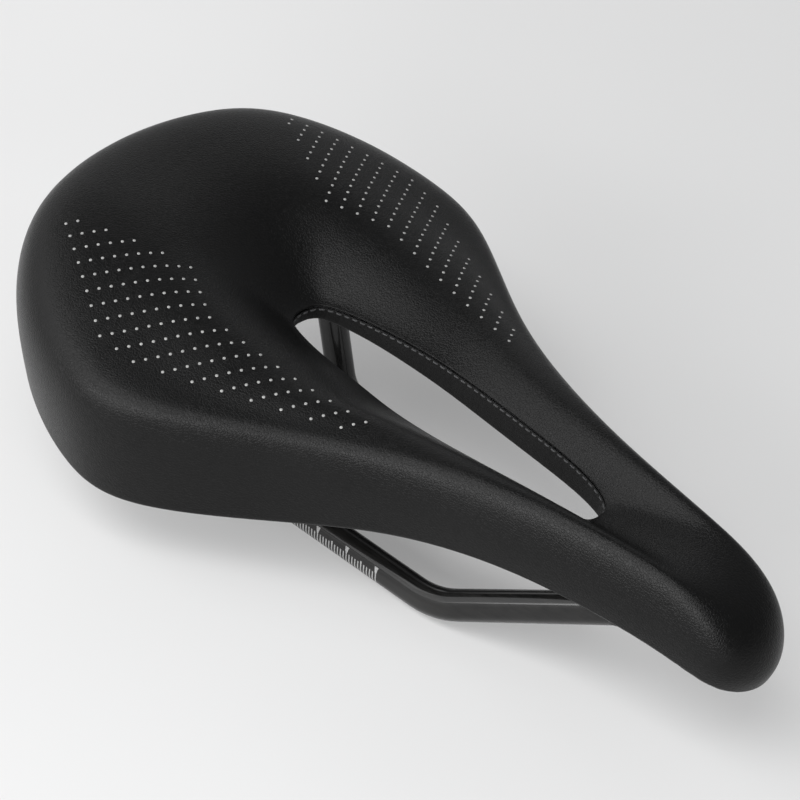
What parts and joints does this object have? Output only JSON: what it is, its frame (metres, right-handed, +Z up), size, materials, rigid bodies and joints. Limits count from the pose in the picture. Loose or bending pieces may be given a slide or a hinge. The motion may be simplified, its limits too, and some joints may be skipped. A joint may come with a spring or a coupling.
{
  "type": "bicycle saddle",
  "caption": "Short-nose road bicycle saddle with a long through cut-out, padded black cover, printed dots and oval carbon rails.",
  "frame": {"origin": "middle of the rails' straight clamp zone, midway between the two rails at the height of their centre lines", "axes": "+X forward to the nose, +Y to the rider's left, +Z up"},
  "size_m": [0.2414, 0.1422, 0.0722],
  "materials": {
    "cover_leather": "satin, fine pebble grain",
    "liner_leather": "satin",
    "foam": "closed-cell foam",
    "shell_composite": "satin moulded composite",
    "socket_plastic": "fine matt",
    "rail_carbon": "gloss clear coat over black carbon fibre",
    "thread": "twisted thread",
    "mark_ink": "printed",
    "dot_ink": "printed"
  },
  "bodies": {
    "root": {"shell": "shell_composite", "foam_pad": "foam", "cover": "cover_leather", "cutout_liner": "liner_leather", "cutout_stitching": "thread", "rail_left": "rail_carbon", "rail_right": "rail_carbon", "nose_socket": "socket_plastic", "rear_socket_left": "socket_plastic", "rear_socket_right": "socket_plastic", "scale_marks_left": "mark_ink", "scale_marks_right": "mark_ink", "dot_print_left": "dot_ink", "dot_print_right": "dot_ink"}
  },
  "joints": []
}
